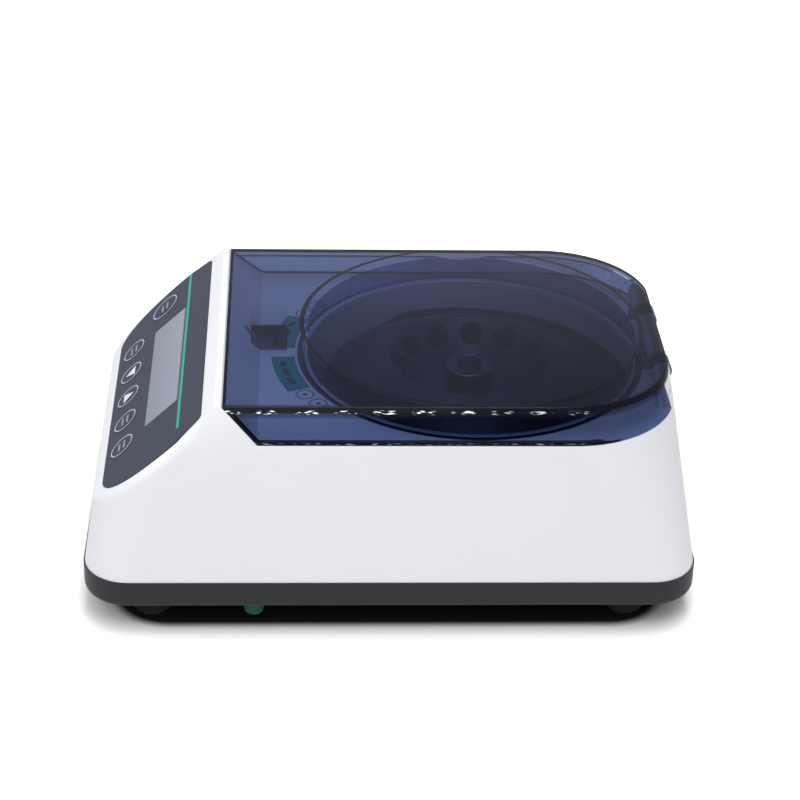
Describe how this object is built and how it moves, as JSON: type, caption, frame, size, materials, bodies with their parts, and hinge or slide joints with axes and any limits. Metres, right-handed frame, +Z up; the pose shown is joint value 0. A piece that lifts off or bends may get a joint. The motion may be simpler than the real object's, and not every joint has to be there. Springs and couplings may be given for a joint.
{
  "type": "mini centrifuge",
  "caption": "Compact bench centrifuge with a sloped control panel, a tinted hinged lid over an angled tube rotor in a bowl, a lid lock and a pull that frees it.",
  "frame": {"origin": "centre of the footprint, on the table under the feet", "axes": "+X to the user's right, +Y to the rear where the lid is hinged, +Z up; the control panel faces -Y"},
  "size_m": [0.178, 0.264, 0.1047],
  "materials": {
    "body_white": "satin moulded plastic",
    "tray_dark": "fine texture",
    "rubber_black": "matte",
    "panel_grey": "printed overlay",
    "line_teal": "printed line",
    "screen": "pale display window",
    "key_grey": "printed key",
    "lid_tint": "clear, tinted blue-grey",
    "pull_green": "moulded",
    "bowl_metal": "spun, satin",
    "rotor_dark": "moulded, satin",
    "nut_steel": "turned",
    "steel": "plain",
    "coil_copper": "enamelled winding",
    "board_green": "circuit board",
    "switch_black": "moulded",
    "seal_silicone": "pale silicone",
    "latch_clear": "clear block"
  },
  "bodies": {
    "housing": {"base_tray": "tray_dark", "rubber_feet": "rubber_black", "case_screws": "steel", "body_shell": "body_white", "control_panel": "panel_grey", "accent_line": "line_teal", "display_window": "screen", "display_module": "board_green", "control_board": "board_green", "board_screws": "steel", "key_switches": "switch_black", "bowl": "bowl_metal", "bowl_gasket": "seal_silicone", "deck_labels": "line_teal", "hinge_pin": "steel", "hinge_washers": "steel", "lock_solenoid": "switch_black", "latch_frame": "steel", "motor_can": "steel", "motor_coils": "coil_copper", "motor_bearings": "steel", "motor_plate": "bowl_metal", "motor_mounts": "rubber_black", "mount_screws": "steel", "shaft_grommet": "rubber_black", "power_inlet": "switch_black", "inlet_blades": "steel", "switch_frame": "switch_black", "power_board": "board_green"},
    "lid": {"lid_shell": "lid_tint", "latch_block": "latch_clear"},
    "spindle": {"motor_magnet": "steel", "drive_shaft": "steel", "rotor": "rotor_dark", "rotor_nut": "nut_steel"},
    "lock_bolt": {"latch_bolt": "steel", "solenoid_plunger": "steel"},
    "release_link": {"release_shaft": "steel"},
    "pull": {"release_pull": "pull_green"},
    "rocker": {"switch_rocker": "switch_black"},
    "key_start": {"key_start": "key_grey"},
    "key_mode": {"key_mode": "key_grey"},
    "key_up": {"key_up": "key_grey"},
    "key_down": {"key_down": "key_grey"},
    "key_menu": {"key_menu": "key_grey"},
    "key_pulse": {"key_pulse": "key_grey"}
  },
  "joints": [
    {"name": "lid_hinge", "type": "hinge", "parent": "housing", "child": "lid", "pos_m": [0, 0.118, 0.0962], "axis": [-1, 0, 0], "range_deg": [0, 80]},
    {"name": "rotor_spin", "type": "hinge", "parent": "housing", "child": "spindle", "pos_m": [0, 0.0364, 0.06], "axis": [0, 0, 1], "continuous": true},
    {"name": "lock_slide", "type": "slide", "parent": "housing", "child": "lock_bolt", "axis": [0, 1, 0], "range_m": [0, 0.006]},
    {"name": "release_turn", "type": "hinge", "parent": "housing", "child": "release_link", "pos_m": [0, -0.068, 0.083], "axis": [1, 0, 0], "range_deg": [0, 19.2]},
    {"name": "pull_slide", "type": "slide", "parent": "housing", "child": "pull", "axis": [0, 0, 1], "range_m": [0, 0.003]},
    {"name": "rocker_tip", "type": "hinge", "parent": "housing", "child": "rocker", "pos_m": [-0.008, 0.12535, 0.04757], "axis": [1, 0, 0], "range_deg": [0, 16]},
    {"name": "key_start_press", "type": "slide", "parent": "housing", "child": "key_start", "axis": [0, 0.6858, -0.7278], "range_m": [0, 0.0006], "stiffness_N_per_m": 400},
    {"name": "key_mode_press", "type": "slide", "parent": "housing", "child": "key_mode", "axis": [0, 0.6858, -0.7278], "range_m": [0, 0.0006], "stiffness_N_per_m": 400},
    {"name": "key_up_press", "type": "slide", "parent": "housing", "child": "key_up", "axis": [0, 0.6858, -0.7278], "range_m": [0, 0.0006], "stiffness_N_per_m": 400},
    {"name": "key_down_press", "type": "slide", "parent": "housing", "child": "key_down", "axis": [0, 0.6858, -0.7278], "range_m": [0, 0.0006], "stiffness_N_per_m": 400},
    {"name": "key_menu_press", "type": "slide", "parent": "housing", "child": "key_menu", "axis": [0, 0.6858, -0.7278], "range_m": [0, 0.0006], "stiffness_N_per_m": 400},
    {"name": "key_pulse_press", "type": "slide", "parent": "housing", "child": "key_pulse", "axis": [0, 0.6858, -0.7278], "range_m": [0, 0.0006], "stiffness_N_per_m": 400}
  ],
  "couplings": [
    {"joint": "release_turn", "follows": "lock_slide", "rad_per_m": 55.556},
    {"joint": "pull_slide", "follows": "lock_slide", "ratio": 0.5}
  ]
}
